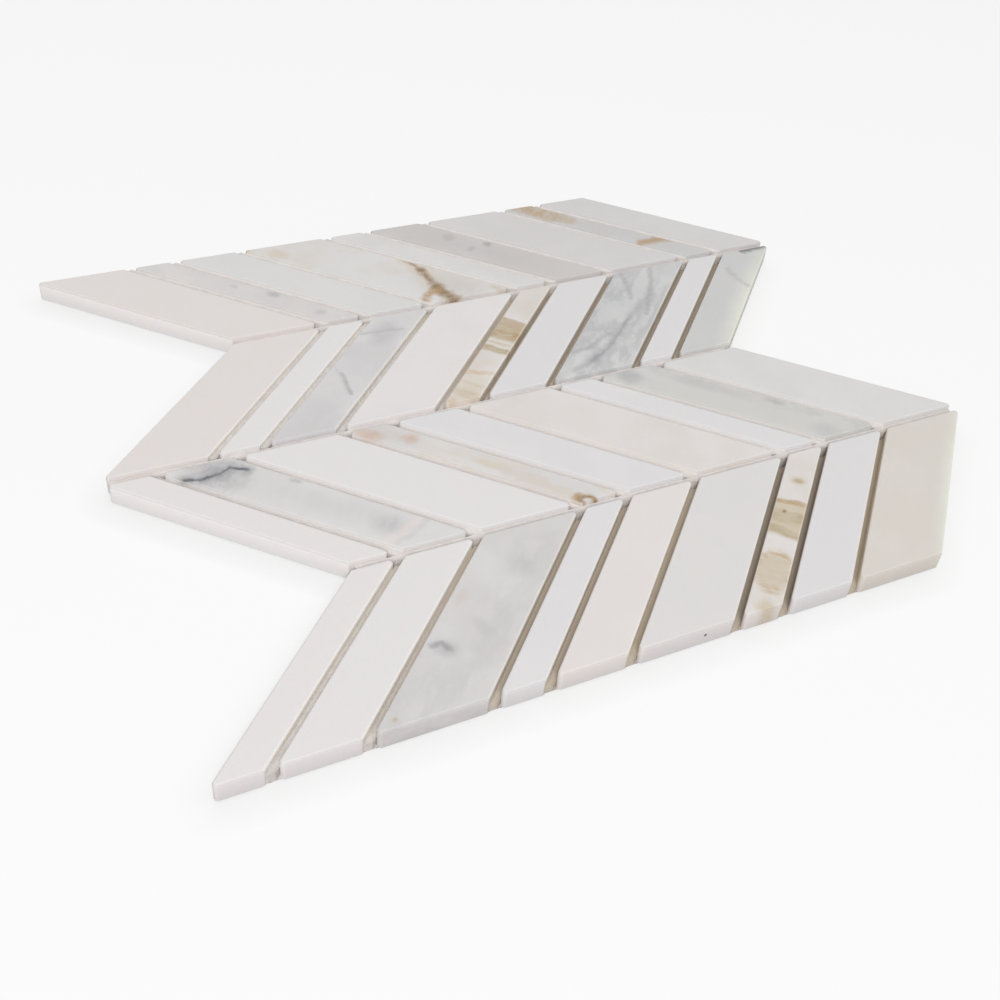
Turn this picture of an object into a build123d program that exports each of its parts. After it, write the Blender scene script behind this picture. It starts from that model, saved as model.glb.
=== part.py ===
"""Marble chevron mosaic sheet: four rows of slanted chips, mitred into two chevrons, on a net backing.

Sizes are in millimetres. X runs along the rows, Y across them and Z up. The origin is at the centre
of the sheet, on the underside of its net.
"""

import math
import os

from build123d import *

# chips
SLANT = 45.0  # angle from a row's edge to the long edges of its chips, in degrees
ROW_DEPTH = 75.0  # a chip's reach across its row
WIDTHS = {"narrow": 13.0, "medium": 21.0, "wide": 30.0}  # square to the long edges
CHIP_THICKNESS = 8.0
CORNER_RADIUS = 1.5  # the upright corners, rubbed round
ARRIS = 0.7  # the bevel rubbed along the edges of the top face

# layout
JOINT = 2.5  # grout joint between neighbours in a row
ROW_JOINT = 3.0  # grout joint between rows
SETS_PER_ROW = 3
ROW_ORDERS = [
    ("narrow", "medium", "wide"),
    ("narrow", "medium", "wide"),
    ("wide", "narrow", "medium"),
    ("wide", "narrow", "medium"),
]

# net backing
NET_THICKNESS = 0.5
NET_MARGIN = 0.8  # how far the net stays inside the outline of the chips

# worked out from the sizes above
RUN = 1 / math.tan(math.radians(SLANT))  # sideways travel of a long edge for each millimetre across
STRETCH = 1 / math.sin(math.radians(SLANT))  # length along a row of a width measured square
ROW_PITCH = ROW_DEPTH + ROW_JOINT
ROWS = len(ROW_ORDERS)
SET_LENGTH = (sum(WIDTHS.values()) + len(WIDTHS) * JOINT) * STRETCH
ROW_LENGTH = SETS_PER_ROW * SET_LENGTH - JOINT * STRETCH
SHEET_DEPTH = ROWS * ROW_PITCH - ROW_JOINT
SWING = ROW_PITCH * RUN  # how far the zigzag ends step sideways from row to row
CENTRE_X = (ROW_LENGTH + SWING) / 2
CENTRE_Y = ROWS * ROW_PITCH / 2


def left_edge(y):
    """The left end of the sheet at a distance y from the front: a zigzag that turns between the rows."""
    along = (y / ROW_PITCH) % 2
    return SWING * (along if along < 1 else 2 - along)


def chip_corners(row, start, width):
    """The four corners of a chip that begins at start along its row, seen from above."""
    front = row * ROW_PITCH + ROW_JOINT / 2
    back = front + ROW_DEPTH
    length = width * STRETCH
    front_left = left_edge(front) + start - CENTRE_X
    back_left = left_edge(back) + start - CENTRE_X
    return [
        (front_left, front - CENTRE_Y),
        (front_left + length, front - CENTRE_Y),
        (back_left + length, back - CENTRE_Y),
        (back_left, back - CENTRE_Y),
    ]


def save(piece, name):
    """Labels a finished piece and writes it to its own file."""
    piece.part.label = name
    export_step(piece.part, f"parts/{name}.step")


def build_chip(row, place, start, width):
    """One marble chip: a slanted bar with rubbed corners and a fine bevel round its face."""
    with BuildPart() as chip:
        with BuildSketch(Plane.XY.offset(NET_THICKNESS)) as outline:
            with BuildLine():
                Polyline(*chip_corners(row, start, width), close=True)
            make_face()
            fillet(outline.vertices(), CORNER_RADIUS)
        extrude(amount=CHIP_THICKNESS)
        top = chip.faces().sort_by(Axis.Z)[-1]
        chamfer(top.edges(), ARRIS)
    save(chip, f"row_{row + 1}_chip_{place + 1}")


def build_row(row):
    """A row of chips: its set of widths, repeated along it."""
    start = 0.0
    for place, name in enumerate(ROW_ORDERS[row] * SETS_PER_ROW):
        build_chip(row, place, start, WIDTHS[name])
        start += (WIDTHS[name] + JOINT) * STRETCH


def build_net():
    """The net that the chips are glued to, cut to their zigzag outline and a little inside it."""
    turns = [row * ROW_PITCH for row in range(1, ROWS)]
    edge_rows = [ROW_JOINT / 2, *turns, ROW_JOINT / 2 + SHEET_DEPTH]
    left = [(left_edge(y) - CENTRE_X, y - CENTRE_Y) for y in edge_rows]
    right = [(x + ROW_LENGTH, y) for x, y in reversed(left)]
    with BuildPart() as net:
        with BuildSketch():
            with BuildLine():
                Polyline(*left, *right, close=True)
            make_face()
            offset(amount=-NET_MARGIN, kind=Kind.INTERSECTION, mode=Mode.REPLACE)
        extrude(amount=NET_THICKNESS)
    save(net, "net_backing")


os.makedirs("parts", exist_ok=True)
build_net()
for row_number in range(ROWS):
    build_row(row_number)
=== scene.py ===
# %% [markdown]
# # A sheet of marble chevron mosaic
#
# The sheet is made of small sawn bars of marble, called chips here. They lie in four rows of nine,
# slanted one way and then the other, so that the rows meet in two chevrons. The chips are glued to a
# net of glass yarn, so that a whole sheet can be laid at once. This script dresses the measured model:
# it opens it, sets the camera, the light and the floor, models the chips, the glue and the net with
# their real softness, and gives each chip a stone of its own.

import math

import bmesh
import bpy
from mathutils import Matrix, Quaternion, Vector


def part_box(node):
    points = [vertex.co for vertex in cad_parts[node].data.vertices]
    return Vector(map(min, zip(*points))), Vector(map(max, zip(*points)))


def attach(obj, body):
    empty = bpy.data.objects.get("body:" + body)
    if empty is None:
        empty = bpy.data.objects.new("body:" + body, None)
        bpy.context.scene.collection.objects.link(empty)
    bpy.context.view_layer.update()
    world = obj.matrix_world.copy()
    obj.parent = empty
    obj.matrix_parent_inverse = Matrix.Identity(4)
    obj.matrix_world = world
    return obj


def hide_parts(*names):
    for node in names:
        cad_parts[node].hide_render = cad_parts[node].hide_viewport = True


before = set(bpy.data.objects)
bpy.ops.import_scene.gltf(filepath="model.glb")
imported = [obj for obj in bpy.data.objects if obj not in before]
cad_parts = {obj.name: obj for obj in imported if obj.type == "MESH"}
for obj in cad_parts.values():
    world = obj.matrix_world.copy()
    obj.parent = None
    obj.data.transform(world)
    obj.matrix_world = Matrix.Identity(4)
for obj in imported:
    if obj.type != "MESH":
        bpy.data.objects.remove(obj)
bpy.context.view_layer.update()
MM = 0.001

# %% [markdown]
# ## The camera
#
# The sheet is seen from its near left corner, from above, with a short lens close by. That is why the
# near chips look so much larger than the far ones. A camera can be turned by hand, by angles or by a
# track. Here it is turned by its heading and its dip, because both can be read off a drawing of the
# room, and it is then rolled a little about its own line of sight.

# %% Camera
EYE = Vector((-0.2226, -0.3814, 0.3327))
HEADING = math.radians(60.5)
DIP = math.radians(41.6)
ROLL = math.radians(6.3)
LENS = 43.4

sight = Vector((math.cos(HEADING) * math.cos(DIP), math.sin(HEADING) * math.cos(DIP), -math.sin(DIP)))
bpy.ops.object.camera_add(location=EYE)
camera = bpy.context.object
camera.rotation_mode = "QUATERNION"
camera.rotation_quaternion = sight.to_track_quat("-Z", "Y") @ Quaternion((0, 0, 1), ROLL)
camera.data.lens = LENS
camera.data.clip_start = 0.01
bpy.context.scene.camera = camera
bpy.context.scene.view_settings.view_transform = "Standard"
print("the camera stands", round(EYE.length, 3), "m from the middle of the sheet")

# %% [markdown]
# ## A bench for materials
#
# A material is a net of nodes. Built node by node, a stone would take hundreds of lines, and the sums
# in it would be hard to read. So a small class wraps the output of a node, and its plus, minus and
# times signs add Math nodes. A second class is the bench that a material is built on: its one method
# adds any other node.

# %% Material bench
class Value:
    """A number that varies over a surface: the output of a node, on which sums can be done."""

    def __init__(self, bench, socket):
        self.bench = bench
        self.socket = socket

    def sum(self, operation, *others, clamp=False):
        settings = {"operation": operation, "use_clamp": clamp}
        return self.bench.add("ShaderNodeMath", settings, dict(enumerate((self, *others))))

    def __add__(self, other):
        return self.sum("ADD", other)

    def __sub__(self, other):
        return self.sum("SUBTRACT", other)

    def __mul__(self, other):
        return self.sum("MULTIPLY", other)

    def __truediv__(self, other):
        return self.sum("DIVIDE", other)

    def __rsub__(self, other):
        return self.sum("MULTIPLY", -1).sum("ADD", other)

    def __neg__(self):
        return self.sum("MULTIPLY", -1)

    def __abs__(self):
        return self.sum("ABSOLUTE")

    __radd__ = __add__
    __rmul__ = __mul__

    def squared(self):
        return self.sum("POWER", 2)

    def least(self, other):
        return self.sum("MINIMUM", other)

    def held(self):
        """The same number, kept between 0 and 1."""
        return self.sum("ADD", 0, clamp=True)


class Bench:
    """One material under construction."""

    def __init__(self, name):
        self.material = bpy.data.materials.new(name)
        self.material.use_nodes = True
        self.tree = self.material.node_tree
        self.tree.nodes.clear()

    def add(self, kind, settings=None, inputs=None, output=0):
        node = self.tree.nodes.new(kind)
        for name, value in (settings or {}).items():
            if name == "stops":
                self.set_stops(node.color_ramp, value)
            else:
                setattr(node, name, value)
        for name, value in (inputs or {}).items():
            if isinstance(value, Value):
                self.tree.links.new(value.socket, node.inputs[name])
            else:
                node.inputs[name].default_value = value
        return Value(self, node.outputs[output]) if node.outputs else node

    def set_stops(self, ramp, stops):
        while len(ramp.elements) < len(stops):
            ramp.elements.new(0.5)
        for element, (position, colour) in zip(ramp.elements, stops):
            element.position = position
            element.color = colour

    def put_on(self, *pieces, surface):
        """Ends the material in a surface, and makes it the only one of some pieces."""
        self.add("ShaderNodeOutputMaterial", inputs={"Surface": surface})
        for piece in pieces:
            piece.data.materials.clear()
            piece.data.materials.append(self.material)


def paint(red, green, blue):
    """A colour read off a screen, 0 to 255, as the linear colour that a shader wants."""
    linear = []
    for part in (red / 255, green / 255, blue / 255):
        linear.append(part / 12.92 if part <= 0.04045 else ((part + 0.055) / 1.055) ** 2.4)
    return (*linear, 1.0)


def mixed(bench, factor, first, second, blend="MIX"):
    """A colour between two colours, by a factor."""
    settings = {"data_type": "RGBA", "blend_type": blend, "clamp_factor": True}
    return bench.add("ShaderNodeMix", settings, {0: factor, 6: first, 7: second}, output=2)


def grey(bench, value):
    """A colour whose three parts are one number."""
    return bench.add("ShaderNodeCombineColor", inputs={0: value, 1: value, 2: value})


def ramped(bench, value, start, end):
    """0 where the value is under start, 1 where it is over end, with an S curve between."""
    settings = {"interpolation_type": "SMOOTHSTEP", "clamp": True}
    return bench.add("ShaderNodeMapRange", settings, {"Value": value, "From Min": start, "From Max": end})


def noise(bench, place, scale, detail=2.0, roughness=0.5, output=0):
    """Blender's own cloud pattern at a place, with a scale in features for each unit of that place."""
    inputs = {"Vector": place, "Scale": scale, "Detail": detail, "Roughness": roughness}
    return bench.add("ShaderNodeTexNoise", {"noise_dimensions": "3D"}, inputs, output=output)


def split(bench, place):
    """The three parts of a place."""
    node = bench.add("ShaderNodeSeparateXYZ", inputs={"Vector": place})
    outputs = node.socket.node.outputs
    return [Value(bench, outputs[axis]) for axis in "XYZ"]


# %% [markdown]
# ## Light and floor
#
# The sheet lies on a white table in soft daylight. The light comes from all round, with a little more
# from above the near left corner, so that the stone dims slowly towards the far right. A large lamp
# makes shadows as soft as a window does. The table is white for the camera, and somewhat darker as a
# source of light, because a table that throws all its light back would wash the walls of the chips out.
# Most of its white is a glow, which takes no shadow of its own. So the glow is dimmed close to the
# sheet, by how much of the view there is blocked, and the sheet keeps a soft contact shadow.

# %% Light and floor
DOME = 0.45
LAMP_WAY = Vector((-0.35, -0.65, 0.67)).normalized()
LAMP_AWAY = 4.0
LAMP_SIZE = 2.0
LAMP_SHARE = 0.53
LAMP_POWER = LAMP_SHARE / LAMP_WAY.z * (math.pi * LAMP_AWAY) ** 2
TABLE_SIZE = 12.0
TABLE_TONE = (0.45, 0.45, 0.45, 1.0)
TABLE_GLOW = 0.70
TABLE_SEEN = 0.26
CONTACT_REACH = 14 * MM
CONTACT_SHADE = 0.24
CONTACT_SIDE = (0.6, 0.6, 0.5)


def light_the_room():
    world = bpy.data.worlds.new("room")
    bpy.context.scene.world = world
    world.use_nodes = True
    nodes, links = world.node_tree.nodes, world.node_tree.links
    nodes.clear()
    path = nodes.new("ShaderNodeLightPath")
    seen = nodes.new("ShaderNodeMath")
    seen.operation = "MAXIMUM"
    links.new(path.outputs["Is Camera Ray"], seen.inputs[0])
    links.new(path.outputs["Is Glossy Ray"], seen.inputs[1])
    dim, plain = (nodes.new("ShaderNodeBackground") for _ in range(2))
    dim.inputs["Strength"].default_value = DOME
    plain.inputs["Strength"].default_value = 1.0
    for background in (dim, plain):
        background.inputs["Color"].default_value = (1.0, 1.0, 1.0, 1.0)
    choice = nodes.new("ShaderNodeMixShader")
    links.new(seen.outputs[0], choice.inputs[0])
    links.new(dim.outputs[0], choice.inputs[1])
    links.new(plain.outputs[0], choice.inputs[2])
    out = nodes.new("ShaderNodeOutputWorld")
    links.new(choice.outputs[0], out.inputs["Surface"])
    bpy.ops.object.light_add(type="AREA", location=LAMP_WAY * LAMP_AWAY)
    lamp = bpy.context.object
    lamp.rotation_mode = "QUATERNION"
    lamp.rotation_quaternion = (-LAMP_WAY).to_track_quat("-Z", "Y")
    lamp.data.shape = "DISK"
    lamp.data.size = LAMP_SIZE
    lamp.data.energy = LAMP_POWER


def lay_the_table():
    bpy.ops.mesh.primitive_plane_add(size=TABLE_SIZE)
    table = bpy.context.object
    table.name = "table"
    bench = Bench("table white")
    lit = bench.add("ShaderNodeBsdfDiffuse", inputs={"Color": TABLE_TONE})
    seen = bench.add("ShaderNodeBsdfDiffuse", inputs={"Color": (TABLE_SEEN,) * 3 + (1.0,)})
    side = bench.add("ShaderNodeCombineXYZ", inputs=dict(enumerate(CONTACT_SIDE)))
    reach = {"Distance": CONTACT_REACH, "Normal": side}
    openness = bench.add("ShaderNodeAmbientOcclusion", inputs=reach, output=1)
    white = grey(bench, 1 - CONTACT_SHADE * (1 - openness))
    glow = bench.add("ShaderNodeEmission", inputs={"Color": white, "Strength": TABLE_GLOW})
    seen = bench.add("ShaderNodeAddShader", inputs={0: seen, 1: glow})
    path = bench.add("ShaderNodeLightPath")
    bench.put_on(table, surface=bench.add("ShaderNodeMixShader", inputs={0: path, 1: lit, 2: seen}))


light_the_room()
lay_the_table()
print("the lamp gives", round(LAMP_POWER), "W")

# %% [markdown]
# ## What the model says about the chips
#
# Every chip of the measured model is a node of its own, named by its row and its place. Its box gives
# its length and its depth, and with those the form is known: a parallelogram that leans by its own
# depth, because the long edges run at forty-five degrees. The rounding of the corners makes the box a
# little shorter than the parallelogram, and that is given back here.

# %% Sizes of the chips
ROWS = 4
PLACES = 9
GAPS = PLACES - 1
CORNER_ROUND = 1.5 * MM
LEAN_ANGLE = math.radians(45)
TIP_LOSS = CORNER_ROUND * math.sqrt(2)


def node_name(row, place):
    return f"row_{row}_chip_{place}"


def leans(row):
    """+1 where the far end of a row's chips lies to the right of the near end, -1 where to the left."""
    return 1 if row % 2 else -1


first_low, first_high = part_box(node_name(1, 1))
DEPTH = first_high.y - first_low.y
BED = first_low.z
FACE = first_high.z
LEAN = DEPTH / math.tan(LEAN_ANGLE)


def chip_length(row, place):
    """The length of a chip's straight ends, along its row."""
    low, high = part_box(node_name(row, place))
    return high.x - low.x - LEAN + 2 * TIP_LOSS


def chip_centre(row, place):
    low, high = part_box(node_name(row, place))
    return Vector(((low.x + high.x) / 2, (low.y + high.y) / 2, 0))


print("chip ends are", [round(chip_length(1, place) / MM, 1) for place in (1, 2, 3)], "mm long")

# %% [markdown]
# ## Modelling helpers
#
# Operators act on what is selected, as they do for someone working by hand. These helpers let the
# script pick corners, edges and faces by their place, in the way that a person would click on them.

# %% Helpers for edit mode
TOUCH = 0.01 * MM


def deselect():
    bpy.ops.object.select_all(action="DESELECT")


def pick(*pieces):
    """Selects these pieces alone, with the first one active."""
    deselect()
    for piece in pieces:
        piece.select_set(True)
    bpy.context.view_layer.objects.active = pieces[0]


def edit(piece):
    pick(piece)
    bpy.ops.object.mode_set(mode="EDIT")


def done():
    bpy.ops.object.mode_set(mode="OBJECT")


def choose(piece, kind, wanted):
    """Selects the corners, edges or faces of a piece in edit mode whose every corner passes a test."""
    bpy.ops.mesh.select_mode(type={"verts": "VERT", "edges": "EDGE", "faces": "FACE"}[kind])
    bpy.ops.mesh.select_all(action="DESELECT")
    form = bmesh.from_edit_mesh(piece.data)
    for part in getattr(form, kind):
        corners = [part] if kind == "verts" else part.verts
        if all(wanted(corner.co) for corner in corners):
            part.select_set(True)
    form.select_flush_mode()
    bmesh.update_edit_mesh(piece.data)


def block(name, low, high):
    """A box between two corners, as the start of a piece, with its place in its mesh."""
    deselect()
    middle = [(a + b) / 2 for a, b in zip(low, high)]
    sides = [b - a for a, b in zip(low, high)]
    bpy.ops.mesh.primitive_cube_add(size=1, location=middle)
    piece = bpy.context.object
    piece.name = name
    piece.scale = sides
    bpy.ops.object.transform_apply(location=True, rotation=True, scale=True)
    return piece


def choose_edges(piece, wanted):
    """Selects the edges of a piece in edit mode whose reach, from end to end, passes a test."""
    form = bmesh.from_edit_mesh(piece.data)
    bpy.ops.mesh.select_mode(type="EDGE")
    bpy.ops.mesh.select_all(action="DESELECT")
    for edge in form.edges:
        edge.select_set(wanted(edge.verts[1].co - edge.verts[0].co))
    bmesh.update_edit_mesh(piece.data)


def lean_over(piece, lean, depth):
    """Slides the far and near ends of a piece in edit mode until its sides lean."""
    for side in (1, -1):
        choose(piece, "verts", lambda co: co.y * side > depth / 4)
        bpy.ops.transform.translate(value=(side * lean / 2, 0, 0))


def soften(piece, angle=40):
    """Smooth shading that keeps broad faces flat."""
    pick(piece)
    bpy.ops.object.shade_smooth_by_angle(angle=math.radians(angle))
    weights = piece.modifiers.new("flat faces", "WEIGHTED_NORMAL")
    weights.keep_sharp = True
    bpy.ops.object.modifier_apply(modifier=weights.name)


def moved_copy(piece, name, move):
    copy = piece.copy()
    copy.data = piece.data.copy()
    copy.name = name
    bpy.context.scene.collection.objects.link(copy)
    copy.data.transform(Matrix.Translation(move))
    return copy


def joined(pieces, name):
    pick(*pieces)
    bpy.ops.object.join()
    pieces[0].name = name
    return pieces[0]


# %% [markdown]
# ## The chips
#
# A real chip is sawn from a strip, and its face is honed with its neighbours. Its upright corners are
# knocked round, and the edges of its face have a soft arris that catches the light. A bevel tool would
# make the sharp corners too pointed, because it squeezes its curve to fit the angle. So the outline is
# drawn like a wire: one corner point is spun round each rounding and drawn straight to the next. The
# wire is filled and pulled up, and the rim of the face is bevelled. Three lengths and two leans make
# six forms, and each form is modelled once and copied to its places.

# %% Chips
ARRIS_ROUND = 0.95 * MM
ARRIS_STEPS = 4
ARC_STEP = math.radians(15)


def lone_corner(name, place):
    """A new piece in edit mode that is a single corner, ready to be drawn out."""
    deselect()
    bpy.ops.mesh.primitive_plane_add(size=MM)
    piece = bpy.context.object
    piece.name = name
    edit(piece)
    bpy.ops.mesh.select_mode(type="VERT")
    bpy.ops.mesh.select_all(action="SELECT")
    bpy.ops.mesh.merge(type="CENTER")
    bpy.ops.transform.translate(value=place)
    return piece


def draw_on(move):
    bpy.ops.mesh.extrude_region_move(TRANSFORM_OT_translate={"value": move})


def chip_outline(length, lean):
    """The four corners, from near left and on against the clock."""
    ends = [(-1, -1), (1, -1), (1, 1), (-1, 1)]
    return [Vector((side * length / 2 + end * lean / 2, end * DEPTH / 2, BED)) for side, end in ends]


def model_chip(length, lean):
    corners = chip_outline(length, lean)
    rounds = []
    for before, corner, after in zip(corners[-1:] + corners[:-1], corners, corners[1:] + corners[:1]):
        inward, outward = (before - corner).normalized(), (after - corner).normalized()
        half = inward.angle(outward) / 2
        setback = CORNER_ROUND / math.tan(half)
        middle = corner + (inward + outward).normalized() * CORNER_ROUND / math.sin(half)
        rounds.append((corner + inward * setback, middle, math.pi - 2 * half, corner + outward * setback))
    piece = lone_corner("chip", rounds[0][0])
    for number, (start, middle, turn, end) in enumerate(rounds):
        steps = round(turn / ARC_STEP)
        bpy.ops.mesh.spin(steps=steps, angle=-turn, center=middle, axis=(0, 0, 1))
        following = rounds[(number + 1) % len(rounds)][0]
        draw_on(following - end)
    bpy.ops.mesh.select_all(action="SELECT")
    bpy.ops.mesh.remove_doubles(threshold=TOUCH)
    bpy.ops.mesh.edge_face_add()
    draw_on((0, 0, FACE - BED))
    bpy.ops.mesh.select_all(action="SELECT")
    bpy.ops.mesh.normals_make_consistent(inside=False)
    choose(piece, "edges", lambda co: co.z > FACE - TOUCH)
    bpy.ops.mesh.bevel(offset=ARRIS_ROUND, segments=ARRIS_STEPS, profile=0.5, affect="EDGES")
    done()
    soften(piece)
    return piece


chips = {}
forms = {}
for row in range(1, ROWS + 1):
    for place in range(1, PLACES + 1):
        length = round(chip_length(row, place), 5)
        kind = (length, leans(row))
        if kind not in forms:
            forms[kind] = model_chip(length, leans(row) * LEAN)
        chip = moved_copy(forms[kind], f"marble_chip_{row}_{place}", chip_centre(row, place))
        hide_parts(node_name(row, place))
        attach(chip, "root")
        chips[row, place] = chip
for form in forms.values():
    bpy.data.objects.remove(form)
print(len(chips), "chips from", len(forms), "forms")

# %% [markdown]
# ## The net and its glue
#
# The chips are held from below by a net of glass yarn. It is a plain weave, stiff with resin, with
# openings of a few millimetres, and it is cut along the zigzag ends. The glue that holds it wells up
# a little between the chips. A single yarn is modelled once as a flat ribbon with a soft section, and
# copies of it are stretched to the lengths that the outline gives. The area of the net is taken as
# that of its yarns, because its openings hold none.

# %% Outline of the sheet
low_net, high_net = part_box("net_backing")
MARGIN = 0.8 * MM
SLACK = MARGIN * math.sqrt(2)
TIP_INSET = 2.9 * MM
SCAN_STEPS = 1200
SHORTEST_RUN = 2 * MM
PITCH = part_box(node_name(2, 1))[0].y - first_low.y
NEAR = first_low.y
ROW_JOINT = PITCH - DEPTH
ROW_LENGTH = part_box(node_name(1, PLACES))[1].x - first_low.x - LEAN + 2 * TIP_LOSS
LEFT_TIP = first_low.x - TIP_LOSS


def zigzag(y):
    """The left end of the sheet at a distance y across it."""
    turns = ((y - NEAR + ROW_JOINT / 2) / PITCH) % 2
    reach = turns if turns < 1 else 2 - turns
    return LEFT_TIP - ROW_JOINT / 2 + reach * PITCH


def net_ends(y):
    """The left and right ends of the net at a distance y, cut blunt under the outer tips of the rows."""
    left_tip = LEFT_TIP - ROW_JOINT / 2
    right_tip = left_tip + PITCH + ROW_LENGTH
    left = max(zigzag(y), left_tip + TIP_INSET) + SLACK
    return left, min(zigzag(y) + ROW_LENGTH, right_tip - TIP_INSET) - SLACK


def runs_across(x):
    """The stretches of y over which the net lies at a place x along it."""
    spans = []
    start = None
    for step in range(SCAN_STEPS + 1):
        y = low_net.y + (high_net.y - low_net.y) * step / SCAN_STEPS
        left, right = net_ends(y)
        inside = left < x < right
        if inside and start is None:
            start = y
        if start is not None and (not inside or step == SCAN_STEPS):
            spans.append((start, y))
            start = None
    return [span for span in spans if span[1] - span[0] > SHORTEST_RUN]


# %% Net of glass yarn
YARN_WIDTH = 1.0 * MM
YARN_THICK = 0.28 * MM
YARN_SPACE = 4.6 * MM
YARN_BEVEL = 0.4 * YARN_THICK
CROSSING_LIFT = 0.6 * YARN_THICK


def model_yarn():
    """A flat ribbon of yarn, 1 m long about x = 0, with rounded edges."""
    piece = block("yarn", (-0.5, -YARN_WIDTH / 2, 0), (0.5, YARN_WIDTH / 2, YARN_THICK))
    edit(piece)
    choose_edges(piece, lambda reach: abs(reach.x) > YARN_WIDTH)
    bpy.ops.mesh.bevel(offset=YARN_BEVEL, segments=2, profile=0.5, affect="EDGES")
    done()
    return piece


def lay_yarn(yarn, start, end, height, turned):
    middle = (Vector(start) + Vector(end)) / 2
    length = (Vector(end) - Vector(start)).length
    strand = moved_copy(yarn, "strand", (0, 0, 0))
    turn = Matrix.Rotation(math.pi / 2, 4, "Z") if turned else Matrix.Identity(4)
    place = Matrix.Translation((middle.x, middle.y, height))
    strand.data.transform(place @ turn @ Matrix.Diagonal((length, 1, 1, 1)))
    return strand


def weave_net():
    yarn = model_yarn()
    strands = []
    yarn_length = 0.0
    y = low_net.y + YARN_SPACE / 2
    while y < high_net.y:
        left, right = net_ends(y)
        strands.append(lay_yarn(yarn, (left, y), (right, y), low_net.z, False))
        yarn_length += right - left
        y += YARN_SPACE
    x = low_net.x + YARN_SPACE / 2
    while x < high_net.x:
        for start, end in runs_across(x):
            strands.append(lay_yarn(yarn, (x, start), (x, end), low_net.z + CROSSING_LIFT, True))
            yarn_length += end - start
        x += YARN_SPACE
    bpy.data.objects.remove(yarn)
    print("the net has", len(strands), "yarns,", round(yarn_length, 1), "m of them")
    return joined(strands, "yarn_net"), yarn_length


yarn_net, yarn_length = weave_net()
soften(yarn_net)
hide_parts("net_backing")
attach(yarn_net, "root")

# %% [markdown]
# ## The film of glue
#
# Glue is rolled over the net and squeezed flat under the chips. It is modelled as one sheet with the
# zigzag outline: a single edge is pulled out row by row, as the outline turns, and the sheet is then
# given a thickness. In the gaps between the chips the glue stands higher, in beads with a hollow back,
# the way a wet glue climbs both walls. It fills the gaps of rows 2 and 4 most of the way up, and gets
# lower from left to right in the other two. The heights are millimetres above the film.

# %% Glue film
FILM_LOW = 0.22 * MM
BEAD_HOLLOW = 0.5 * MM
BEAD_CUTS = 3
ROW_BEAD_HIGH = 5.8 * MM
BEAD_HIGHS = {
    1: [4.5, 3.8, 3.0, 3.0, 3.0, 1.5, 1.5, 2.5],
    2: [5.6] * GAPS,
    3: [6.2, 6.0, 5.0, 3.5, 2.5, 2.5, 2.0, 2.0],
    4: [7.0] * GAPS,
}


def model_film():
    """The glue under all the chips, pulled out row by row from its near edge."""
    turns = [NEAR + MARGIN] + [NEAR - ROW_JOINT / 2 + PITCH * row for row in range(1, ROWS)]
    turns.append(NEAR + PITCH * ROWS - ROW_JOINT - MARGIN)
    film = lone_corner("glue_film", (zigzag(turns[0]) + SLACK, turns[0], FILM_LOW))
    draw_on((ROW_LENGTH - 2 * SLACK, 0, 0))
    bpy.ops.mesh.select_all(action="SELECT")
    for before, after in zip(turns, turns[1:]):
        draw_on((zigzag(after) - zigzag(before), after - before, 0))
    for turn in turns:
        for end, start in zip(net_ends(turn), (zigzag(turn) + SLACK, zigzag(turn) + ROW_LENGTH - SLACK)):
            tip = Vector((start, turn, FILM_LOW))
            choose(film, "verts", lambda co: (co - tip).length < MM / 10)
            bpy.ops.transform.translate(value=(end - start, 0, 0))
    bpy.ops.mesh.select_all(action="SELECT")
    bpy.ops.mesh.normals_make_consistent(inside=False)
    draw_on((0, 0, BED - FILM_LOW))
    bpy.ops.mesh.select_all(action="SELECT")
    bpy.ops.mesh.normals_make_consistent(inside=False)
    done()
    return film


def model_bead(name, length, depth, lean, high):
    """A bead of glue with a hollow back, leaning like the gap that it lies in. Lean is its far end's."""
    piece = block(name, (-length / 2, -depth / 2, BED), (length / 2, depth / 2, BED + high))
    edit(piece)
    short_way = 1 if length > depth else 0
    half = min(length, depth) / 2
    choose_edges(piece, lambda reach: abs(reach[short_way]) > half)
    bpy.ops.mesh.subdivide(number_cuts=BEAD_CUTS)
    lean_over(piece, lean, depth)
    choose(piece, "verts", lambda co: False)
    form = bmesh.from_edit_mesh(piece.data)
    for corner in form.verts:
        if corner.co.z > BED + high / 2:
            across = corner.co.y if short_way else corner.co.x - lean * corner.co.y / depth
            corner.co.z -= BEAD_HOLLOW * (1 - (across / half) ** 2)
    bmesh.update_edit_mesh(piece.data)
    done()
    return piece


def lay_beads():
    beads = []
    for row in range(1, ROWS + 1):
        for place in range(1, PLACES):
            here, after = chip_centre(row, place), chip_centre(row, place + 1)
            left = here.x + chip_length(row, place) / 2
            right = after.x - chip_length(row, place + 1) / 2
            ends = 2 * MARGIN if leans(row) > 0 else 0
            high = BEAD_HIGHS[row][place - 1] * MM
            bead = model_bead("bead", right - left, DEPTH - ends, leans(row) * (LEAN - ends), high)
            bead.data.transform(Matrix.Translation(((left + right) / 2, here.y, 0)))
            beads.append(bead)
    for row in range(1, ROWS):
        y = NEAR - ROW_JOINT / 2 + PITCH * row
        left, right = net_ends(y)
        bead = model_bead("bead", right - left, ROW_JOINT, 0, ROW_BEAD_HIGH)
        bead.data.transform(Matrix.Translation(((left + right) / 2, y, 0)))
        beads.append(bead)
    return joined(beads, "glue_beads")


glue_film = model_film()
glue_beads = lay_beads()
soften(glue_beads, 60)
for piece in (glue_film, glue_beads):
    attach(piece, "root")
yarn_area = yarn_length * YARN_WIDTH
print("the glue beads have", len(glue_beads.data.polygons), "faces")

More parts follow.
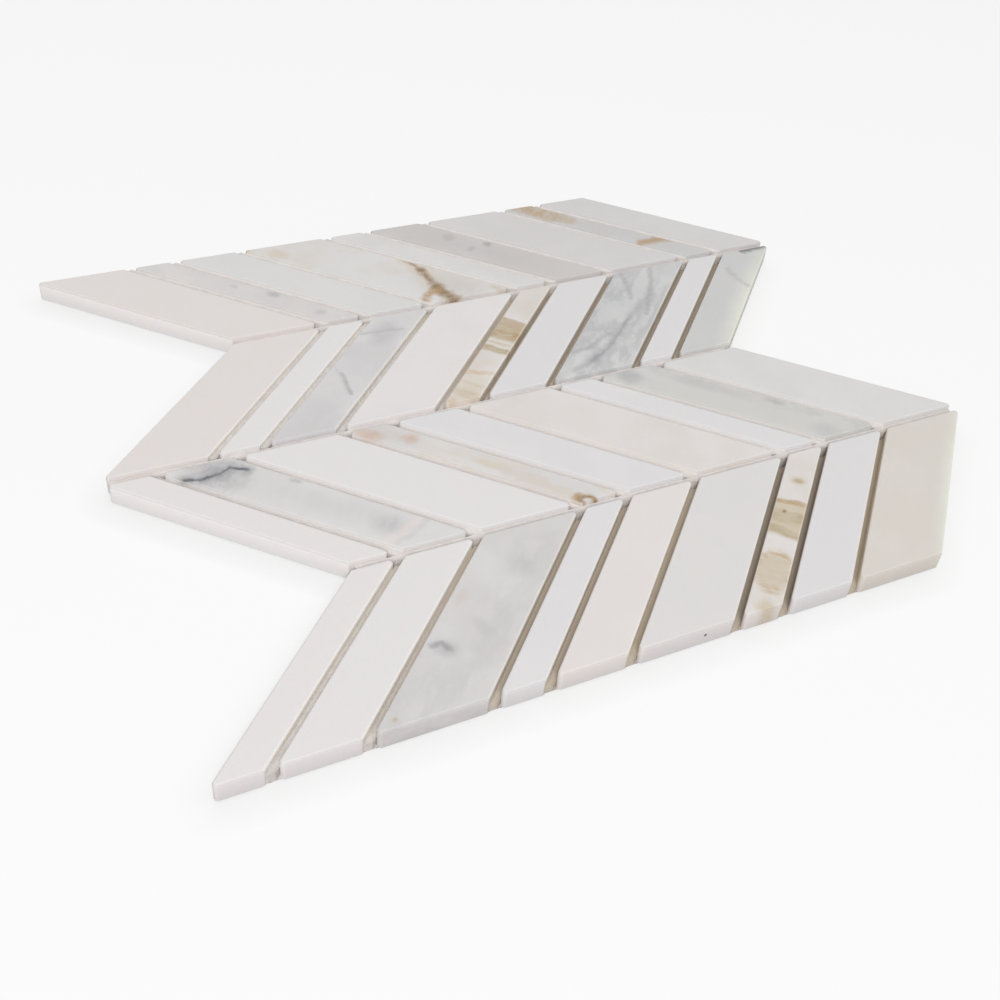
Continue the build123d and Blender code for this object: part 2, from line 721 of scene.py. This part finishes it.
# %% [markdown]
# ## The stone
#
# The sheet mixes several marbles: plain white ones, cream ones, clouded grey ones with charcoal veins,
# and a few with gold in them. The figure of a stone runs through its body, so it is worked out in
# space and not painted on the face. A Mapping node moves and turns each chip's own millimetres onto
# it: "along" runs from its near end to its far end, and "across" runs to its left.

# %% Chip coordinates
def chip_turn(row):
    """The angle of a chip's long edges from the X axis."""
    return math.pi / 2 - leans(row) * (math.pi / 2 - LEAN_ANGLE)


def chip_frame(bench, row, place):
    """Millimetres measured from the middle of a chip: along it, across it to the left, and up."""
    where = bench.add("ShaderNodeTexCoord", output=3)
    inputs = {"Vector": where, "Location": chip_centre(row, place), "Rotation": (0, 0, chip_turn(row))}
    return bench.add("ShaderNodeMapping", {"vector_type": "TEXTURE"}, {**inputs, "Scale": (MM, MM, MM)})


def vector_sum(bench, operation, first, second, output=0):
    return bench.add("ShaderNodeVectorMath", {"operation": operation}, {0: first, 1: second}, output)


def shaken(bench, place, amount, scale, detail=3.0):
    """A place moved about by noise, so that what is drawn on it gets ragged edges."""
    push = vector_sum(bench, "SUBTRACT", noise(bench, place, scale, detail, output=1), (0.5, 0.5, 0.5))
    return vector_sum(bench, "ADD", place, vector_sum(bench, "MULTIPLY", push, (2 * amount,) * 3))


# %% [markdown]
# ## Figures in the stone
#
# A figure is anything that can be seen in the stone. Each is a function that gives a mask, 1 on the
# figure and 0 off it. A vein is drawn by the distance to a broken line, a blotch by the distance to a
# middle, a ring by the distance to the rim of a blotch, and a band by the distance along the chip.
# Clouds and streaks aren't placed: they are noise, plain or drawn out, that fills the whole chip.

# %% Placed figures
VEIN_SWELL = 1.5
VEIN_LEAST = 0.25
MOTTLE_SCALE = (0.4, 0.13, 0.3)
SPECK_CORE = 0.6


def vein(bench, place, points, width, shake=1.3, scale=0.2, fade=0.4):
    """A ragged vein through some points, which are millimetres along and across the chip."""
    along, across, _ = split(bench, shaken(bench, place, shake, scale, 5.0))
    nearest = None
    for (a, b), (c, d) in zip(points, points[1:]):
        run, rise = c - a, d - b
        square = run * run + rise * rise
        share = ((along - a) * (run / square) + (across - b) * (rise / square)).held()
        away = (along - a - share * run).squared() + (across - b - share * rise).squared()
        nearest = away if nearest is None else nearest.least(away)
    swell = noise(bench, place, 0.3, 3.0) * VEIN_SWELL + VEIN_LEAST
    mask = 1 - ramped(bench, nearest.sum("SQRT") / swell, 0, width)
    return mask * (1 - fade * ramped(bench, noise(bench, place, 0.4, 2.0), 0.4, 0.7))


def from_middle(bench, place, middle, size, shake, scale, turn):
    """The distance to a middle, where 1 is the rim of an ellipse of the given half sizes."""
    along, across, _ = split(bench, shaken(bench, place, shake, scale, 4.0))
    along, across = along - middle[0], across - middle[1]
    cos, sin = math.cos(math.radians(turn)), math.sin(math.radians(turn))
    first = (along * cos + across * sin) / size[0]
    second = (across * cos - along * sin) / size[1]
    return (first.squared() + second.squared()).sum("SQRT")


def mottled(bench, place, mask, depth):
    """A mask worn thin in streaks that run across the chip."""
    drawn = {"Vector": shaken(bench, place, 1.5, 0.3), "Scale": MOTTLE_SCALE}
    drawn = bench.add("ShaderNodeMapping", {"vector_type": "POINT"}, drawn)
    return mask * (1 - depth * ramped(bench, noise(bench, drawn, 1.0, 4.0, 0.6), 0.35, 0.65))


def blotch(bench, place, middle, size, shake=1.8, soft=0.8, turn=0, scale=0.15, mottle=0.3):
    """A ragged spot. Size is its half length along the chip and its half width across it."""
    distance = from_middle(bench, place, middle, size, shake, scale, turn)
    return mottled(bench, place, 1 - ramped(bench, distance, 1 - soft, 1.0), mottle)


def ring(bench, place, middle, size, width=0.3, shake=2.2, turn=0, scale=0.15, mottle=0.9):
    """The rim of a ragged spot. Width is a share of its size."""
    distance = from_middle(bench, place, middle, size, shake, scale, turn)
    return mottled(bench, place, 1 - ramped(bench, abs(distance - 1), 0, width), mottle)


def band(bench, place, middle, width, slope=0.0, shake=1.8, soft=0.7, scale=0.15, mottle=0.5):
    """A stripe across the chip. Slope is how far it runs along for each millimetre across."""
    along, across, _ = split(bench, shaken(bench, place, shake, scale, 4.0))
    distance = abs(along + across * slope - middle) / (width / 2)
    return mottled(bench, place, 1 - ramped(bench, distance, 1 - soft, 1.0), mottle)


def speck(bench, place, middle, size):
    """A grain of another mineral. Its middle is along, across and above the net."""
    away = vector_sum(bench, "DISTANCE", place, middle, output=1)
    return 1 - ramped(bench, away, size * SPECK_CORE, size)


PLACED = (vein, blotch, ring, band, speck)


# %% Figures that fill a chip
STREAK_SOFT = 0.22


def cloud(bench, place, scale=0.035, start=0.38, end=0.66):
    """Broad soft clouds."""
    return ramped(bench, noise(bench, shaken(bench, place, 5.0, 0.06), scale, 5.0, 0.55), start, end)


def streaks(bench, place, turn=30, scale=0.07, stretch=3.0, width=0.07, start=0.42):
    """Smoky veins that run one way: the lines along which a drawn out noise passes its middle value."""
    settings = {"vector_type": "POINT"}
    drawn = {"Vector": shaken(bench, place, 3.0, 0.12, 5.0), "Rotation": (0, 0, math.radians(turn))}
    drawn = bench.add("ShaderNodeMapping", settings, {**drawn, "Scale": (scale / stretch, scale, scale)})
    ridge = 1 - ramped(bench, abs(noise(bench, drawn, 1.0, 4.0, 0.55) - 0.5), 0, width)
    return ridge * ramped(bench, noise(bench, drawn, 0.5, 2.0), start, start + STREAK_SOFT)


# %% [markdown]
# ## A marble
#
# One function builds any of the marbles from a ground colour, a cloud colour and a list of figures.
# The face is honed, so it has a soft sheen. The walls are sawn, so they are rougher, with fine lines
# from the blade. They get painted shade: a little darker and pinker than the face, and darker still
# towards the net. The arris is rubbed with a coarse block, so it is duller than the face, and it has
# painted shade on its near and left sides, which face the lamp.
# Marble lets some light in, so the shader has a little subsurface scattering.
#
# The long walls in the narrow gaps between the chips are painted from milky to brown, in patches and
# with less near the face: the pale tints are painted light, the dark ones painted shade. The long rims
# of rows 1 and 3 get a painted highlight, and the outer walls of the first and the last chip in a row
# get painted light.

# %% Painted light and shade on the walls and rims
# painted light and shade on the long walls in the gaps: pale tints are light, dark ones shade
GAP_SHADING_SHARE = 0.9
SHADING_FADE = 0.35
SHADING_FADE_HEIGHTS = (1.0, 8.5)
PATCH_SCALE = 0.25
PATCH_SHARE = 0.5
PATCH_LEAST = 0.62
GAP_WALL_FACING = (0.75, 0.95)
# a painted highlight on the long rims, and painted light on the outer walls
LIT_SIDE_FACING = (0.8, 0.95)
RIM_HIGHLIGHT = 0.35
PAINTED_LIGHT_TINT = paint(250, 246, 236)
OUTER_WALL_LIGHT = 0.85
OUTER_LIGHT_TINTS = {1: paint(236, 232, 231), PLACES: PAINTED_LIGHT_TINT}
GAP_SHADE_AND_LIGHT = {
    1: ["cream", "sand", "taupe", "brown", "moss", "umber", "umber", "olive"],
    2: ["milk"] * GAPS,
    3: ["cream", "cream", "cream", "sand", "taupe", "taupe", "taupe", "taupe"],
    4: ["milk"] * GAPS,
}
GAP_SHADE_AND_LIGHT_COLOURS = {
    "milk": paint(230, 226, 223),
    "cream": paint(246, 242, 232),
    "sand": paint(240, 233, 222),
    "olive": paint(236, 225, 200),
    "moss": paint(222, 210, 184),
    "taupe": paint(212, 200, 182),
    "brown": paint(206, 193, 173),
    "umber": paint(162, 142, 122),
}


def painted_light_and_shade(bench, colour, normal, field, above_net, rim, row, place):
    """The colour of a chip with painted light and shade on its gap walls, rims and outer walls."""
    turn = chip_turn(row)
    to_left = (-math.sin(turn), math.cos(turn), 0)
    facing = vector_sum(bench, "DOT_PRODUCT", normal, to_left, output=1)
    patches = noise(bench, field, PATCH_SCALE, 4.0, 0.6) * PATCH_SHARE + PATCH_LEAST
    patches = patches.held() * (1 - SHADING_FADE * ramped(bench, above_net, *SHADING_FADE_HEIGHTS))
    # painted light and shade on the long walls of the gaps, less of it near the face
    for side, gap in ((facing, place - 2), (-facing, place - 1)):
        if 0 <= gap < GAPS:
            tint = GAP_SHADE_AND_LIGHT_COLOURS[GAP_SHADE_AND_LIGHT[row][gap]]
            share = ramped(bench, side, *GAP_WALL_FACING) * patches * GAP_SHADING_SHARE
            colour = mixed(bench, share, colour, tint)
    # a painted highlight along the long rims of rows 1 and 3
    if leans(row) > 0:
        facing_up = split(bench, normal)[2]
        level = (1 - facing_up.squared()).sum("SQRT")
        lit_long_rim = rim * ramped(bench, abs(facing) / level, *LIT_SIDE_FACING)
        colour = mixed(bench, lit_long_rim * RIM_HIGHLIGHT, colour, PAINTED_LIGHT_TINT)
    # painted light on the outer walls of the first and the last chip in a row
    if place in OUTER_LIGHT_TINTS:
        outward = ramped(bench, facing if place == 1 else -facing, *LIT_SIDE_FACING)
        colour = mixed(bench, outward * OUTER_WALL_LIGHT, colour, OUTER_LIGHT_TINTS[place])
    return colour


# %% Marble
GLOW_DEPTH = 2.5 * MM
GLOW_SHARE = 0.2
FACE_SHEEN = 0.36
WALL_SHEEN = 0.6
SHEEN_CHANGE = 0.06
# painted shade: the walls a little darker and pinker than the face, and darker still at the foot
WALL_SHADE_TINT = (0.97, 0.95, 0.95, 1.0)
FOOT_SHADE = 0.10
FOOT_HEIGHTS = (0.5, 7.5)
# painted shade on the near and left rims, which face the lamp, against their glint
RIM_SHADE = 0.20
RIM_SHADE_SIDES = (0.1, 0.3)
WALL_TO_RIM = (0.1, 0.5)
RIM_TO_FACE = (0.85, 1.0)
STONE_APART = (37.0, 53.0, 11.0)
GRAIN = 0.05
BLADE_MARKS = (0.25, 0.25, 5.0)
SAWN_DEPTH = 0.05
HONED_DEPTH = 0.012


def figured(bench, spot, field, ground, cloud_colour, cloud_share, figures):
    """The colour of the stone itself. Figures are (mask maker, its values, colour, strength)."""
    colour = mixed(bench, cloud(bench, field) * cloud_share, ground, cloud_colour)
    for maker, values, tint, strength in figures:
        mask = maker(bench, spot if maker in PLACED else field, **values)
        colour = mixed(bench, mask * strength, colour, tint)
    grain = noise(bench, field, 0.9, 5.0, 0.7) * GRAIN + (1 - GRAIN / 2)
    return mixed(bench, 1.0, colour, grey(bench, grain), "MULTIPLY")


def make_marble(row, place, ground, cloud_colour, cloud_share, figures):
    """Gives one chip its stone."""
    bench = Bench(f"marble {row} {place}")
    spot = chip_frame(bench, row, place)
    apart = [step * count for step, count in zip(STONE_APART, (row, place, row + place))]
    field = vector_sum(bench, "ADD", spot, apart)
    normal = bench.add("ShaderNodeNewGeometry", output=1)
    facing_right, facing_far, facing_up = split(bench, normal)
    _, _, above_net = split(bench, spot)
    wall = 1 - ramped(bench, facing_up, *WALL_TO_RIM)
    rim = ramped(bench, facing_up, *WALL_TO_RIM) * (1 - ramped(bench, facing_up, *RIM_TO_FACE))
    # painted shade on the rims that face the near left, towards the lamp
    painted_rim_shade = rim * ramped(bench, -facing_far - facing_right, *RIM_SHADE_SIDES)

    colour = figured(bench, spot, field, ground, cloud_colour, cloud_share, figures)
    # painted shade on the walls: a little darker and pinker than the face
    colour = mixed(bench, wall, colour, WALL_SHADE_TINT, "MULTIPLY")
    colour = painted_light_and_shade(bench, colour, normal, field, above_net, rim, row, place)
    # painted shade on the walls, growing towards the net
    painted_foot_shade = wall * FOOT_SHADE * (1 - ramped(bench, above_net, *FOOT_HEIGHTS))
    colour = mixed(bench, 1.0, colour, grey(bench, 1 - painted_foot_shade - painted_rim_shade * RIM_SHADE), "MULTIPLY")

    blade = {"Vector": field, "Scale": BLADE_MARKS}
    blade = bench.add("ShaderNodeMapping", {"vector_type": "POINT"}, blade)
    sawn = noise(bench, blade, 0.8, 2.0) * wall
    honed = noise(bench, field, 2.2, 3.0, 0.65)
    bump = {"Strength": 0.5, "Distance": MM, "Height": sawn * SAWN_DEPTH + honed * HONED_DEPTH}
    bump = bench.add("ShaderNodeBump", inputs=bump)
    rough = (wall + rim).held()
    sheen = FACE_SHEEN + rough * (WALL_SHEEN - FACE_SHEEN)
    sheen = sheen + noise(bench, field, 0.12, 2.0) * SHEEN_CHANGE
    inputs = {
        "Base Color": colour,
        "Roughness": sheen,
        "Normal": bump,
        "IOR": 1.5,
        "Subsurface Weight": GLOW_SHARE,
        "Subsurface Radius": (1.0, 0.85, 0.7),
        "Subsurface Scale": GLOW_DEPTH,
    }
    bench.put_on(chips[row, place], surface=bench.add("ShaderNodeBsdfPrincipled", inputs=inputs))


# %% [markdown]
# ## The stones of the sheet
#
# Each chip now gets its ground and its figures, as they were picked when the sheet was laid out. The
# plain ones need no figures. The list goes row by row from the near side, and from left to right.

# %% Stones
WARM = paint(228, 224, 223)
COOL = paint(227, 224, 224)
ICE = paint(222, 220, 221)
CREAM = paint(225, 220, 217)
BUTTER = paint(216, 210, 202)
MIST = paint(212, 209, 208)
PEARL = paint(221, 219, 218)
BLUE_GREY = paint(209, 206, 207)
GREEN_GREY = paint(208, 207, 203)
STORM = paint(203, 203, 203)
DOVE = paint(201, 197, 195)
ROSE_WHITE = paint(228, 217, 214)
SMOKE = paint(172, 171, 173)
SLATE = paint(138, 139, 143)
CHARCOAL = paint(88, 90, 98)
BEIGE = paint(212, 198, 178)
TAN = paint(196, 173, 140)
OCHRE = paint(178, 146, 104)
BRONZE = paint(136, 110, 76)
ROSE = paint(203, 175, 157)
STRAW = paint(204, 191, 168)
OLIVE = paint(182, 165, 132)
APRICOT = paint(206, 174, 136)
# painted light: the glow along the right edge of the last chips of rows 1 and 3
PAINTED_EDGE_GLOW = paint(228, 229, 217)
FAWN = paint(188, 168, 143)
SANDY = paint(214, 207, 198)

STONES = {
    (1, 1): ("cream_marble", WARM, COOL, 0.5, []),
    (1, 2): ("white_marble", COOL, WARM, 0.5, []),
    (1, 3): ("grey_marble", MIST, PEARL, 0.7, [
        (streaks, {"turn": 50, "width": 0.12}, SMOKE, 0.2),
        (blotch, {"middle": (28, -4), "size": (10, 8)}, SMOKE, 0.3),
        (blotch, {"middle": (-8, -2), "size": (4, 9), "turn": -25}, SMOKE, 0.25),
        (blotch, {"middle": (-23, 7), "size": (6, 7)}, SMOKE, 0.6),
        (vein, {"points": [(-24, 12), (-21, 9), (-23, 6)], "width": 2.2, "shake": 2.0}, SLATE, 0.6),
        (blotch, {"middle": (3, 11), "size": (6, 3)}, ROSE, 0.25),
        (blotch, {"middle": (-48, -9), "size": (2, 2)}, SMOKE, 0.5),
        (blotch, {"middle": (-59, 11), "size": (1.8, 1.4), "shake": 0.5}, TAN, 0.6),
    ]),
    (1, 4): ("white_marble", ICE, COOL, 0.5, []),
    (1, 5): ("cream_marble", CREAM, WARM, 0.4, []),
    (1, 6): ("cream_marble", PEARL, ROSE_WHITE, 0.2, [
        (speck, {"middle": (-46.7, -6.3, 5.1), "size": 0.8}, CHARCOAL, 1.0),
    ]),
    (1, 7): ("gold_marble", CREAM, SANDY, 0.6, [
        (blotch, {"middle": (-30, 0), "size": (15, 9), "soft": 0.5, "mottle": 0.2}, STRAW, 0.9),
        (ring, {"middle": (-30, 0), "size": (10.5, 7), "width": 0.4}, TAN, 0.9),
        (blotch, {"middle": (-50, -1), "size": (6, 6), "turn": -40}, STRAW, 0.9),
        (band, {"middle": 3.5, "width": 27, "soft": 0.3, "mottle": 0.2}, STRAW, 1.0),
        (band, {"middle": -5.5, "width": 7, "slope": -0.2}, OLIVE, 0.9),
        (band, {"middle": 4, "width": 11, "slope": 0.1}, OLIVE, 0.8),
        (band, {"middle": 14, "width": 4, "slope": 0.15}, OCHRE, 0.8),
        (blotch, {"middle": (7, 2.5), "size": (1.6, 1.3)}, BRONZE, 0.9),
        (blotch, {"middle": (29.5, -0.5), "size": (4.5, 5)}, STRAW, 0.9),
        (blotch, {"middle": (29.5, -0.5), "size": (2.5, 3)}, OLIVE, 0.8),
    ]),
    (1, 8): ("white_marble", ICE, PEARL, 0.5, []),
    (1, 9): ("cream_marble", BUTTER, CREAM, 0.3, [
        # painted light along the right edge
        (blotch, {"middle": (10, -16.5), "size": (90, 9), "soft": 1.0, "mottle": 0.0}, PAINTED_EDGE_GLOW, 1.0),
        (blotch, {"middle": (-40, 5), "size": (12, 7), "soft": 1.0}, ROSE_WHITE, 0.4),
    ]),
    (2, 1): ("white_marble", WARM, COOL, 0.4, []),
    (2, 2): ("grey_marble", PEARL, MIST, 0.6, [
        (blotch, {"middle": (-8, 0), "size": (40, 11), "soft": 1.0}, SMOKE, 0.25),
        (blotch, {"middle": (-33, -1), "size": (12, 10), "soft": 1.0}, SMOKE, 0.5),
        (vein, {"points": [(-35, 10), (-39, 1), (-42, -10)], "width": 3.5, "shake": 2.0}, ROSE_WHITE, 0.6),
        (vein, {"points": [(-39, 8), (-43, 0), (-45, -8)], "width": 2.5, "shake": 2.0}, SMOKE, 0.25),
        (blotch, {"middle": (42, 1), "size": (20, 14), "soft": 0.9, "mottle": 0.5}, SMOKE, 0.9),
        (vein, {"points": [(53, 11), (46, 7), (42, 1), (40, -4), (33, -6)], "width": 5.5}, SLATE, 0.6),
        (vein, {"points": [(53, 11), (46, 7), (42, 1), (40, -4), (33, -6)], "width": 1.5}, CHARCOAL, 0.95),
        (blotch, {"middle": (12, -8), "size": (4, 1.8)}, SMOKE, 0.6),
    ]),
    (2, 3): ("white_marble", COOL, WARM, 0.4, []),
    (2, 4): ("gold_marble", PEARL, MIST, 0.7, [
        (streaks, {"turn": 70, "width": 0.1, "start": 0.35}, BEIGE, 0.45),
        (blotch, {"middle": (42, 0), "size": (24, 12), "soft": 1.0}, DOVE, 0.6),
        (blotch, {"middle": (50, 4.5), "size": (10, 6), "soft": 0.9, "shake": 3.0}, ROSE, 0.9),
        (blotch, {"middle": (33, -1), "size": (6, 4.5), "turn": 40, "soft": 0.9, "shake": 3.0}, ROSE, 0.85),
        (blotch, {"middle": (-5, 0), "size": (12, 4)}, BEIGE, 0.6),
        (ring, {"middle": (-48, 5), "size": (4, 2.8), "width": 0.9, "mottle": 0.3}, OCHRE, 1.0),
        (ring, {"middle": (-49, 5), "size": (4, 2.8), "width": 0.4, "mottle": 0.6}, BRONZE, 0.9),
    ]),
    (2, 5): ("white_marble", ICE, COOL, 0.4, []),
    (2, 6): ("cream_marble", CREAM, BUTTER, 0.5, []),
    (2, 7): ("white_marble", ICE, WARM, 0.4, []),
    (2, 8): ("grey_marble", GREEN_GREY, MIST, 0.5, [
        (streaks, {"turn": 10, "width": 0.09}, SMOKE, 0.3),
        (blotch, {"middle": (50, 4), "size": (9, 8)}, SLATE, 0.45),
        (blotch, {"middle": (-17, -7), "size": (8, 3)}, SMOKE, 0.6),
        (blotch, {"middle": (-42, 4), "size": (11, 8)}, SMOKE, 0.35),
        (blotch, {"middle": (15, -5), "size": (32, 5)}, SMOKE, 0.3),
    ]),
    (2, 9): ("white_marble", PEARL, GREEN_GREY, 0.3, []),
    (3, 1): ("cream_marble", CREAM, ROSE_WHITE, 0.4, []),
    (3, 2): ("white_marble", COOL, WARM, 0.4, []),
    (3, 3): ("grey_marble", BLUE_GREY, PEARL, 0.6, [
        (blotch, {"middle": (33, 0), "size": (16, 10)}, SMOKE, 0.45),
        (blotch, {"middle": (-40, 0), "size": (16, 10)}, SMOKE, 0.12),
        (vein, {"points": [(-1, 9.5), (-6, 5), (-11, 0), (-17, -4)], "width": 1.5, "shake": 0.8},
         DOVE, 0.5),
        (vein, {"points": [(-5, 4), (-11, -1), (-17, -6)], "width": 1.8, "shake": 0.8}, SLATE, 0.5),
        (vein, {"points": [(27, 10), (34, 2), (40, -6)], "width": 2.0}, SMOKE, 0.5),
    ]),
    (3, 4): ("white_marble", WARM, PEARL, 0.5, []),
    (3, 5): ("gold_marble", CREAM, SANDY, 0.8, [
        (blotch, {"middle": (-45, 0), "size": (24, 14), "soft": 1.0}, BEIGE, 0.7),
        (band, {"middle": 9, "width": 21, "soft": 0.3, "mottle": 0.2}, STRAW, 1.0),
        (band, {"middle": 6.5, "width": 13.5, "soft": 0.35}, OLIVE, 1.0),
        (band, {"middle": 6, "width": 9, "slope": 0.1, "mottle": 0.9}, OCHRE, 0.8),
        (band, {"middle": 15.5, "width": 9.5, "slope": -0.15, "soft": 0.4, "mottle": 0.3}, FAWN, 1.0),
        (band, {"middle": -8, "width": 6.5, "soft": 0.6, "mottle": 0.3}, OLIVE, 1.0),
        (band, {"middle": -3, "width": 3}, STRAW, 0.9),
        (band, {"middle": -29, "width": 4.5, "slope": 0.3}, APRICOT, 0.7),
        (band, {"middle": -38, "width": 4}, STRAW, 0.6),
        (band, {"middle": -46.5, "width": 7}, STRAW, 1.0),
        (blotch, {"middle": (-54, 4), "size": (5, 4)}, APRICOT, 0.5),
    ]),
    (3, 6): ("white_marble", ICE, PEARL, 0.4, []),
    (3, 7): ("grey_marble", STORM, PEARL, 0.55, [
        (streaks, {"turn": 15, "width": 0.12, "start": 0.3, "scale": 0.09}, SLATE, 0.3),
        (vein, {"points": [(-55, 8), (-40, 2), (-24, -1), (0, -3), (18, -5)], "width": 3.5}, SMOKE, 0.7),
        (vein, {"points": [(-44, 3), (-30, -1), (-19, -2), (2, -3)], "width": 1.5}, SLATE, 0.5),
        (vein, {"points": [(8, -10), (24, -7), (40, -4), (56, 1)], "width": 2.5}, SMOKE, 0.8),
        (vein, {"points": [(-41, 13), (-33, 7), (-24, 5), (-18, 2)], "width": 2.5}, SMOKE, 0.7),
        (vein, {"points": [(44, 15), (33, 9), (26, 4), (18, 1)], "width": 2.5}, SMOKE, 0.7),
        (blotch, {"middle": (-42, 3), "size": (9, 7)}, SLATE, 0.35),
    ]),
    (3, 8): ("white_marble", ICE, PEARL, 0.4, []),
    (3, 9): ("grey_marble", STORM, GREEN_GREY, 0.5, [
        # painted light along the right edge
        (blotch, {"middle": (0, -12), "size": (90, 12), "soft": 1.0, "mottle": 0.0}, PAINTED_EDGE_GLOW, 1.0),
        (vein, {"points": [(15, -8), (20, -1), (27, 5)], "width": 3.0}, SMOKE, 0.5),
        (vein, {"points": [(49, 2), (53, -2), (60, -8)], "width": 3.5, "fade": 0.0}, CHARCOAL, 0.8),
    ]),
    (4, 1): ("grey_marble", CREAM, ROSE_WHITE, 0.3, []),
    (4, 2): ("grey_marble", MIST, CREAM, 0.5, [
        (blotch, {"middle": (-13, -3.5), "size": (5, 3.5)}, SLATE, 0.5),
        (blotch, {"middle": (-40, 0), "size": (4, 4)}, SMOKE, 0.5),
        (blotch, {"middle": (7, -1), "size": (3, 2)}, SMOKE, 0.5),
    ]),
    (4, 3): ("white_marble", PEARL, MIST, 0.3, []),
    (4, 4): ("gold_marble", PEARL, SANDY, 0.8, [
        (blotch, {"middle": (-40, -3), "size": (34, 16), "soft": 1.0}, DOVE, 0.7),
        (blotch, {"middle": (50, 9), "size": (8, 7)}, BEIGE, 0.8),
        (blotch, {"middle": (65, 13), "size": (3, 3)}, TAN, 0.6),
        (blotch, {"middle": (-62, -12), "size": (7, 3)}, TAN, 0.5),
        (vein, {"points": [(-48, 8), (-40, 5), (-33, 1), (-22, -9), (-8, -17)], "width": 8.0}, BEIGE, 0.8),
        (vein, {"points": [(-48, 8), (-40, 5), (-34, 1)], "width": 6.0, "fade": 0.2}, BRONZE, 0.9),
        (vein, {"points": [(-38, 4), (-34, 1), (-28, -4), (-21, -10)], "width": 4.0}, BRONZE, 0.9),
        (vein, {"points": [(-21, -10), (-8, -17)], "width": 2.5}, BRONZE, 0.7),
        (vein, {"points": [(-33, 15), (-33, 9), (-36, 3)], "width": 4.0}, OCHRE, 0.9),
    ]),
    (4, 5): ("white_marble", PEARL, MIST, 0.5, []),
    (4, 6): ("grey_marble", DOVE, MIST, 0.3, [
        (blotch, {"middle": (2, 0), "size": (40, 9), "soft": 1.0}, SMOKE, 0.2),
        (blotch, {"middle": (1.5, -7), "size": (3.5, 4.5), "turn": 30}, SLATE, 0.6),
        (blotch, {"middle": (7, 2), "size": (2.5, 5)}, SMOKE, 0.6),
        (blotch, {"middle": (22, -4), "size": (5, 5)}, SMOKE, 0.6),
    ]),
    (4, 7): ("white_marble", MIST, PEARL, 0.3, []),
    (4, 8): ("gold_marble", STORM, DOVE, 0.8, [
        (blotch, {"middle": (39, -1), "size": (26, 8), "soft": 0.35, "mottle": 0.5}, FAWN, 0.9),
        (blotch, {"middle": (44, -2), "size": (20, 6), "soft": 0.5, "mottle": 0.8}, OCHRE, 0.45),
        (vein, {"points": [(-34, -8), (-27, -3), (-21, 4)], "width": 4.5, "fade": 0.1}, OCHRE, 0.9),
    ]),
    (4, 9): ("white_marble", MIST, PEARL, 0.3, []),
}

for (row, place), (slot, ground, cloud_colour, cloud_share, figures) in STONES.items():
    make_marble(row, place, ground, cloud_colour, cloud_share, figures)
print(len(STONES), "stones")

# %% [markdown]
# ## Yarn and glue
#
# Glass yarn is white with a silky twist, and the glue dries to a milky beige. In the gaps of rows 1 and
# 3 the glue gets painted shade, from a place along the row and on to the right.

# %% Yarn and glue materials
FIBRES = 1800.0
FIBRE_HIGH = 0.1 * MM
FIBRE_COLOURS = (paint(222, 220, 214), paint(244, 243, 240))


def make_yarn():
    bench = Bench("glass yarn")
    where = bench.add("ShaderNodeTexCoord", output=3)
    fibres = noise(bench, where, FIBRES, 3.0, 0.6)
    colour = mixed(bench, fibres, *FIBRE_COLOURS)
    bump = bench.add("ShaderNodeBump", inputs={"Strength": 0.6, "Distance": FIBRE_HIGH, "Height": fibres})
    inputs = {"Base Color": colour, "Roughness": 0.45 + fibres * 0.2, "Normal": bump}
    bench.put_on(yarn_net, surface=bench.add("ShaderNodeBsdfPrincipled", inputs=inputs))


LUMPS = 220.0
LUMP_HIGH = 0.2 * MM
GLUE_COLOURS = (paint(200, 194, 190), paint(211, 206, 202))
# painted shade on the glue in the gaps of rows 1 and 3
GLUE_SHADE_FROM = {1: (-0.15, -0.05), 3: (-0.04, -0.01)}
GLUE_SHADE_TINT = paint(188, 176, 160)


def make_glue():
    bench = Bench("dried glue")
    where = bench.add("ShaderNodeTexCoord", output=3)
    lumps = noise(bench, where, LUMPS, 4.0, 0.6)
    colour = mixed(bench, ramped(bench, lumps, 0.35, 0.7), *GLUE_COLOURS)
    to_right, to_far, _ = split(bench, where)
    # painted shade on the glue in the gaps of rows 1 and 3
    for row, reach in GLUE_SHADE_FROM.items():
        painted_glue_shade = ramped(bench, to_right, *reach)
        beside = 1 - ramped(bench, abs(to_far - chip_centre(row, 1).y), DEPTH / 2 - MM, DEPTH / 2)
        colour = mixed(bench, painted_glue_shade * beside, colour, GLUE_SHADE_TINT)
    bump = bench.add("ShaderNodeBump", inputs={"Strength": 0.5, "Distance": LUMP_HIGH, "Height": lumps})
    inputs = {"Base Color": colour, "Roughness": 0.35 + lumps * 0.3, "Normal": bump}
    bench.put_on(glue_film, glue_beads, surface=bench.add("ShaderNodeBsdfPrincipled", inputs=inputs))


make_yarn()
make_glue()
print("the net is of", yarn_net.active_material.name, "and", glue_film.active_material.name)
